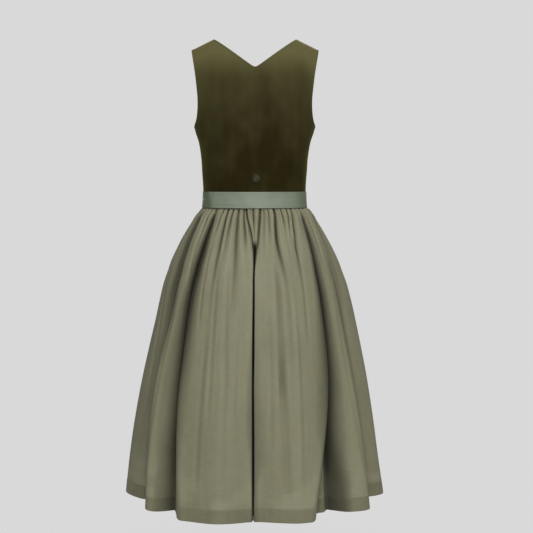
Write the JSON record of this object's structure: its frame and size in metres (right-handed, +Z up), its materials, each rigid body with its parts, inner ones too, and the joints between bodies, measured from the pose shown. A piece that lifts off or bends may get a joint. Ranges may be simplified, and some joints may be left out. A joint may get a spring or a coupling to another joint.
{
  "type": "dirndl dress",
  "caption": "Sleeveless dirndl dress, filled out with no wearer: V-necked velvet bodice, flat ribbon waistband and full gathered midi skirt.",
  "frame": {"origin": "midway between the wearer's shoulders, at the height where the shoulders carry the straps", "axes": "+Z up along the wearer, the front of the dress faces -Y, its back faces +Y, +X is the wearer's left"},
  "size_m": [0.6747, 0.5112, 1.1739],
  "materials": {
    "velvet": "dark olive cotton velvet",
    "ribbon": "sage green satin-faced ribbon",
    "skirt_cloth": "grey olive ribbed cotton with a slight lustre",
    "button": "dark olive horn look, polished"
  },
  "bodies": {
    "root": {"bodice_back": "velvet", "bodice_front_left": "velvet", "bodice_front_right": "velvet", "waistband": "ribbon", "skirt_back_left": "skirt_cloth", "skirt_back_right": "skirt_cloth", "skirt_front_left": "skirt_cloth", "skirt_front_right": "skirt_cloth", "back_button": "button"}
  },
  "joints": []
}
